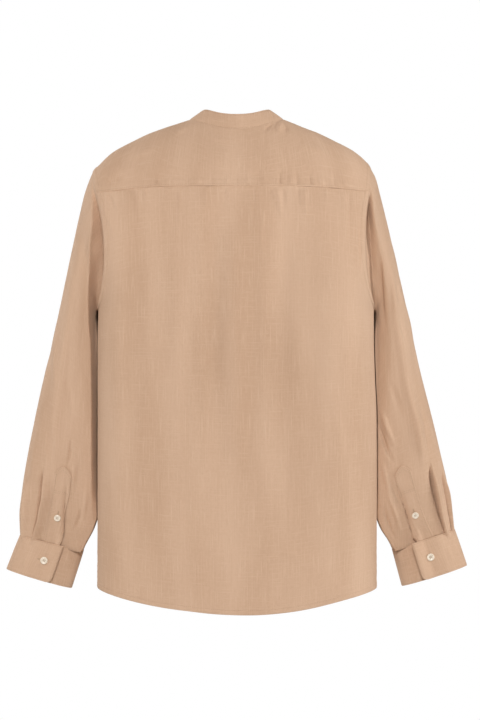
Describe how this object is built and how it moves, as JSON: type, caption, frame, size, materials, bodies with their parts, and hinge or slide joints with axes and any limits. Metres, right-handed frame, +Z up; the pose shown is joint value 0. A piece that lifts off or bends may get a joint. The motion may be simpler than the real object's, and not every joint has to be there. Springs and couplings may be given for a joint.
{
  "type": "mandarin collar shirt",
  "caption": "Long-sleeved mandarin collar shirt in sand linen, button-through front, back yoke and curved hem, held in its worn hollow shape.",
  "frame": {"origin": "middle of the neck opening, level with the shoulder seams beside it, where the wearer's shoulders carry the shirt", "axes": "+Z up along the wearer's spine, -Y the way the shirt faces, +X to the wearer's left"},
  "size_m": [0.7382, 0.2491, 0.7931],
  "materials": {
    "linen": "matt sand-coloured plain-weave linen with slubs",
    "button": "pale pearly four-hole button"
  },
  "bodies": {
    "root": {"yoke": "linen", "back": "linen", "front_left": "linen", "front_right": "linen", "front_placket": "linen", "collar": "linen", "sleeve_left": "linen", "sleeve_right": "linen", "cuff_left": "linen", "cuff_right": "linen", "sleeve_placket_left": "linen", "sleeve_placket_right": "linen", "front_button_1": "button", "front_button_2": "button", "front_button_3": "button", "front_button_4": "button", "front_button_5": "button", "front_button_6": "button", "front_button_7": "button", "collar_button": "button", "cuff_button_left": "button", "cuff_button_right": "button", "placket_button_left": "button", "placket_button_right": "button"}
  },
  "joints": []
}
